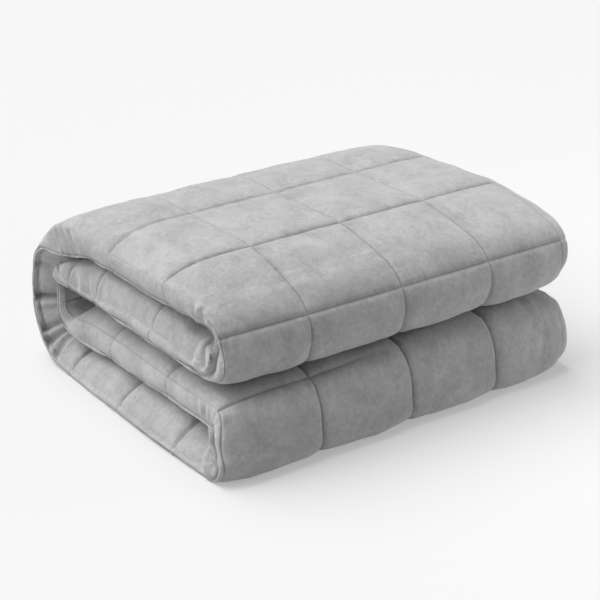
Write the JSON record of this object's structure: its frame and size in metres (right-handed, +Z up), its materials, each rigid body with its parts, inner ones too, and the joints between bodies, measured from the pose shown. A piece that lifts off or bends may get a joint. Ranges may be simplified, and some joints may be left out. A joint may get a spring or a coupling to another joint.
{
  "type": "weighted blanket",
  "caption": "Quilted weighted blanket in light grey suede-like fabric, both ends folded in and then folded in half into a flat four-layer stack.",
  "frame": {"origin": "middle of the folded blanket's footprint, on the surface that it lies on", "axes": "+X along the folds, +Y from the folded front edges to the outer back, +Z up"},
  "size_m": [0.5356, 0.4664, 0.2126],
  "materials": {
    "suede": "soft brushed microfibre, matt, with a light nap and stitched quilting"
  },
  "bodies": {
    "root": {"blanket": "suede"}
  },
  "joints": []
}
